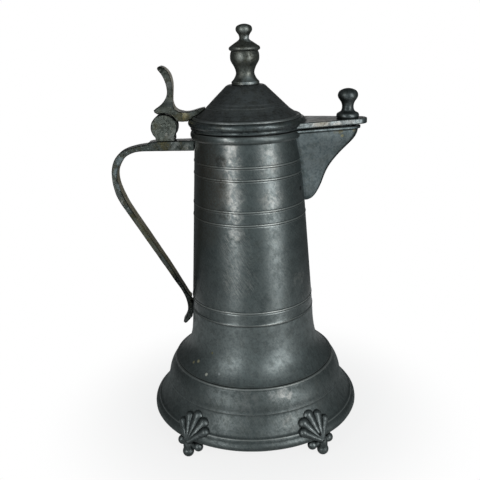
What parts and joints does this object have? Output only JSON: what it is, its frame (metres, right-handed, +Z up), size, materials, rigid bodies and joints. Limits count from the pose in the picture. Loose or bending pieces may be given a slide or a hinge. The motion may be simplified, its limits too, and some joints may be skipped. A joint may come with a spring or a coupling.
{
  "type": "lidded pitcher",
  "caption": "Tall tapered metal pitcher on shell feet, with a stepped base, strap handle, covered beak spout and a hinged conical lid with thumbpiece and turned finial.",
  "frame": {"origin": "on the vessel's axis, on the surface that the feet stand on", "axes": "+Z up along the vessel's axis, +X towards the spout, -X towards the handle"},
  "size_m": [0.1863, 0.1612, 0.301],
  "materials": {
    "body_pewter": "turned pewter, darkened grey-green with age, soft gloss, fine scratches",
    "base_pewter": "turned pewter, darkened grey-green with age, soft gloss",
    "spout_pewter": "hammered sheet pewter, darkened, soft gloss, yellow-brown oxide spots",
    "handle_pewter": "cast pewter, worn, with olive oxide",
    "hinge_pewter": "cast pewter, pitted, with olive oxide",
    "pin_metal": "peened pin, dull",
    "lid_pewter": "turned pewter, the darkest part, matt with fine turning lines",
    "knob_pewter": "turned pewter, dark, glossy",
    "inside_pewter": "turned pewter, dull grey",
    "feet_pewter": "cast pewter, dark in the hollows and worn bright on the ridges"
  },
  "bodies": {
    "vessel": {"drum": "body_pewter", "mouth_band": "body_pewter", "flare": "body_pewter", "vessel_floor": "inside_pewter", "skirt": "base_pewter", "spout": "spout_pewter", "handle": "handle_pewter", "hinge_ears": "hinge_pewter", "hinge_pin": "pin_metal", "foot_front_left": "feet_pewter", "foot_front_right": "feet_pewter", "foot_back_left": "feet_pewter", "foot_back_right": "feet_pewter"},
    "lid": {"lid_bracket": "hinge_pewter", "lid_flange": "lid_pewter", "lid_cone": "lid_pewter", "lid_bezel": "inside_pewter", "finial": "knob_pewter", "spout_knob": "knob_pewter"}
  },
  "joints": [
    {"name": "lid_hinge", "type": "hinge", "parent": "vessel", "child": "lid", "pos_m": [-0.059, 0, 0.2324], "axis": [0, -1, 0], "range_deg": [0, 100]}
  ]
}
